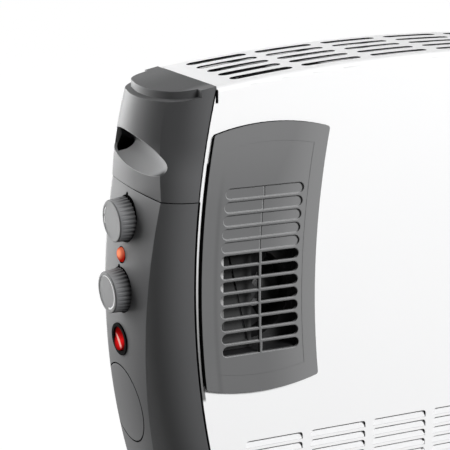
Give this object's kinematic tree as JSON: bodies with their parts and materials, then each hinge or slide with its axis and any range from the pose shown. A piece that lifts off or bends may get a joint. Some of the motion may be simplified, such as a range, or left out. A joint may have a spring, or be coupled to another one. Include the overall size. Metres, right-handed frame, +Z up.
{
  "type": "convector heater",
  "caption": "Free-standing convector heater: white folded sheet body with an arched slotted top, dark moulded end caps with handles, knobs, rocker switch and a turbo fan grille.",
  "frame": {"origin": "on the floor, under the middle of the whole width and depth", "axes": "+X along the heater's length towards the plain end, +Y to the back, +Z up"},
  "size_m": [0.6152, 0.195, 0.42],
  "materials": {
    "white_sheet": "satin white powder coat",
    "cap_plastic": "fine textured dark grey",
    "grille_plastic": "satin mid grey",
    "knob_plastic": "satin grey",
    "black_plastic": "satin black",
    "red_plastic": "glossy red",
    "lamp_plastic": "translucent orange",
    "zinc_sheet": "zinc plated",
    "steel": "bright steel",
    "element_alloy": "extruded, dull",
    "insulator": "unglazed white",
    "pad_rubber": "matt black",
    "fan_plastic": "satin black"
  },
  "bodies": {
    "housing": {"front_panel": "white_sheet", "rear_panel": "white_sheet", "bottom_grille": "white_sheet", "left_end_plate": "zinc_sheet", "right_end_plate": "zinc_sheet", "left_handle_cap": "cap_plastic", "right_handle_cap": "cap_plastic", "left_control_panel": "cap_plastic", "right_end_cover": "cap_plastic", "timer_blank_cover": "cap_plastic", "turbo_grille": "grille_plastic", "selector_switch": "black_plastic", "thermostat": "black_plastic", "pilot_lens": "lamp_plastic", "pilot_lamp_holder": "black_plastic", "turbo_switch_body": "black_plastic", "fan_shroud": "fan_plastic", "fan_motor": "steel", "air_guide": "grille_plastic", "heating_element_front": "element_alloy", "heating_element_rear": "element_alloy", "element_bushes": "insulator", "left_element_bracket": "zinc_sheet", "right_element_bracket": "zinc_sheet", "heat_shield": "zinc_sheet", "terminal_block": "insulator", "thermal_cutout": "black_plastic", "cord_gland": "black_plastic", "left_foot": "cap_plastic", "right_foot": "cap_plastic", "foot_pads": "pad_rubber", "cap_screws": "steel", "rear_screws": "steel", "foot_screws": "steel"},
    "selector_dial": {"power_selector_knob": "knob_plastic", "selector_shaft": "steel"},
    "thermostat_dial": {"thermostat_knob": "knob_plastic", "thermostat_shaft": "steel"},
    "rocker": {"turbo_rocker": "red_plastic"},
    "fan": {"fan_impeller": "fan_plastic", "fan_shaft": "steel"}
  },
  "joints": [
    {"name": "selector_turn", "type": "hinge", "parent": "housing", "child": "selector_dial", "pos_m": [-0.28838, 0.0115, 0.283], "axis": [0.9948, 0.087, 0.0523], "range_deg": [0, 135]},
    {"name": "thermostat_turn", "type": "hinge", "parent": "housing", "child": "thermostat_dial", "pos_m": [-0.29297, 0.01338, 0.2203], "axis": [0.9948, 0.087, 0.0523], "range_deg": [0, 270]},
    {"name": "turbo_press", "type": "hinge", "parent": "housing", "child": "rocker", "pos_m": [-0.28963, 0.01871, 0.17435], "axis": [-0.0872, 0.9962, 0], "range_deg": [-18, 0]},
    {"name": "fan_spin", "type": "hinge", "parent": "housing", "child": "fan", "pos_m": [-0.19857, -0.025, 0.21886], "axis": [0, 1, 0], "continuous": true}
  ]
}
